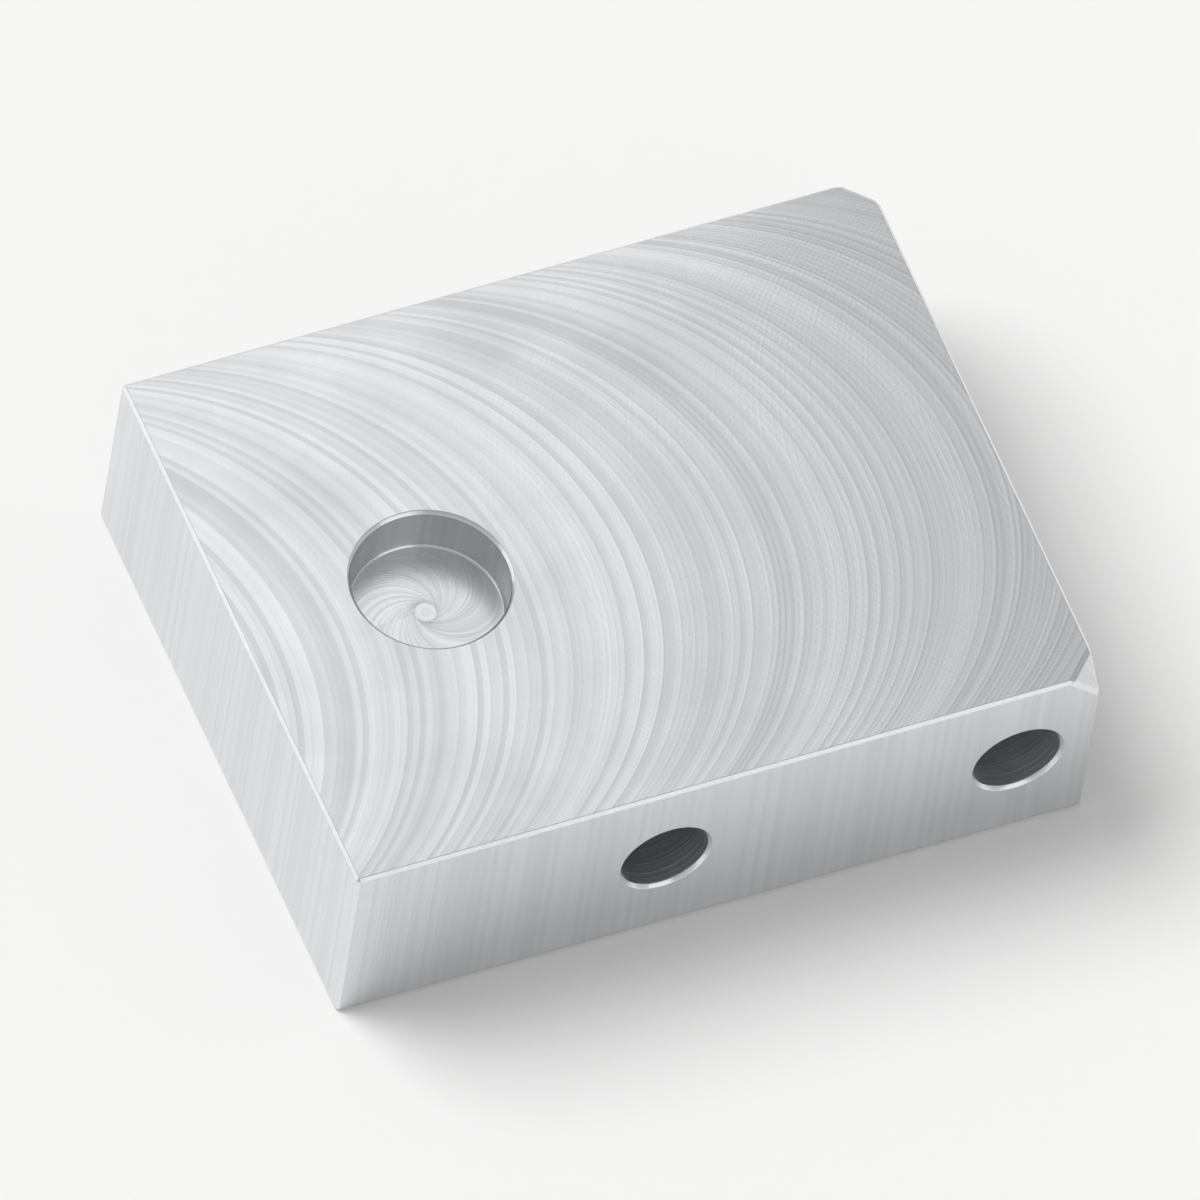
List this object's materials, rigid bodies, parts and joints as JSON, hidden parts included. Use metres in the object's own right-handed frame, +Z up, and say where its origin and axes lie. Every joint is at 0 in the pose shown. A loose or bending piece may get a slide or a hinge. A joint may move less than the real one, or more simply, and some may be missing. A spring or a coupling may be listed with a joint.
{
  "type": "mounting block",
  "caption": "Flat rectangular milled block with a shallow round pocket in its top face, plain cross holes from front to back and obliquely cut upper corners at one end.",
  "frame": {"origin": "middle of the base face", "axes": "+X along the length, towards the end with the cut corners; +Y from the front face, where the cross holes open, to the back face; +Z up, out of the pocket's mouth"},
  "size_m": [0.07, 0.055, 0.02],
  "materials": {
    "block": "as milled, with the edges lightly broken"
  },
  "bodies": {
    "root": {"mounting_block": "block"}
  },
  "joints": []
}
